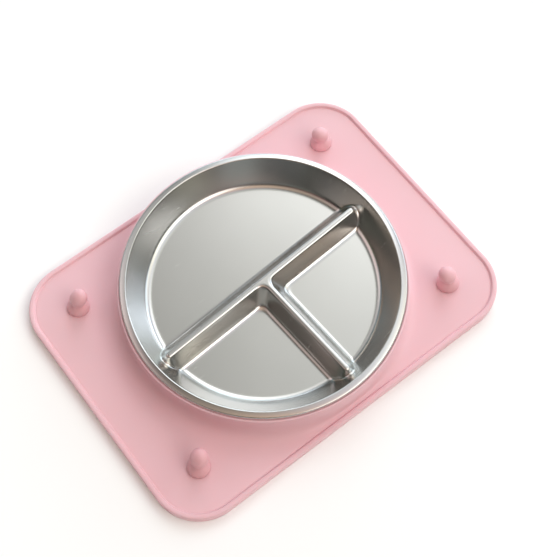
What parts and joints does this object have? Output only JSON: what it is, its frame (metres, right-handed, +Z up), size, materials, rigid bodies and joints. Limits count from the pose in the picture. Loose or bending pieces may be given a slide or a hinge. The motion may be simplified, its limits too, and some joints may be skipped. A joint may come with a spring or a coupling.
{
  "type": "divided suction plate",
  "caption": "Round steel plate with three compartments, dropped into a seat ring on a rounded rectangular silicone placemat that pull-through suction cups hold to the table.",
  "frame": {"origin": "middle of the placemat's footprint, on the table top", "axes": "+X along the placemat's long side, +Y to the back, away from the two small compartments, +Z up"},
  "size_m": [0.291, 0.217, 0.0367],
  "materials": {
    "silicone": "matt moulded food-grade silicone, pale pink",
    "cup_silicone": "satin moulded silicone, pale pink",
    "steel": "pressed stainless steel, satin polish"
  },
  "bodies": {
    "placemat": {"placemat": "silicone"},
    "divided_plate": {"divided_plate": "steel"},
    "cup_front_left": {"suction_cup_front_left": "cup_silicone"},
    "cup_front_right": {"suction_cup_front_right": "cup_silicone"},
    "cup_rear_left": {"suction_cup_rear_left": "cup_silicone"},
    "cup_rear_right": {"suction_cup_rear_right": "cup_silicone"}
  },
  "joints": [
    {"name": "plate_lift", "type": "slide", "parent": "placemat", "child": "divided_plate", "axis": [0, 0, 1], "range_m": [0, 0.06]},
    {"name": "pull_front_left", "type": "slide", "parent": "placemat", "child": "cup_front_left", "axis": [0, 0, 1], "range_m": [0, 0.001]},
    {"name": "pull_front_right", "type": "slide", "parent": "placemat", "child": "cup_front_right", "axis": [0, 0, 1], "range_m": [0, 0.001]},
    {"name": "pull_rear_left", "type": "slide", "parent": "placemat", "child": "cup_rear_left", "axis": [0, 0, 1], "range_m": [0, 0.001]},
    {"name": "pull_rear_right", "type": "slide", "parent": "placemat", "child": "cup_rear_right", "axis": [0, 0, 1], "range_m": [0, 0.001]}
  ]
}
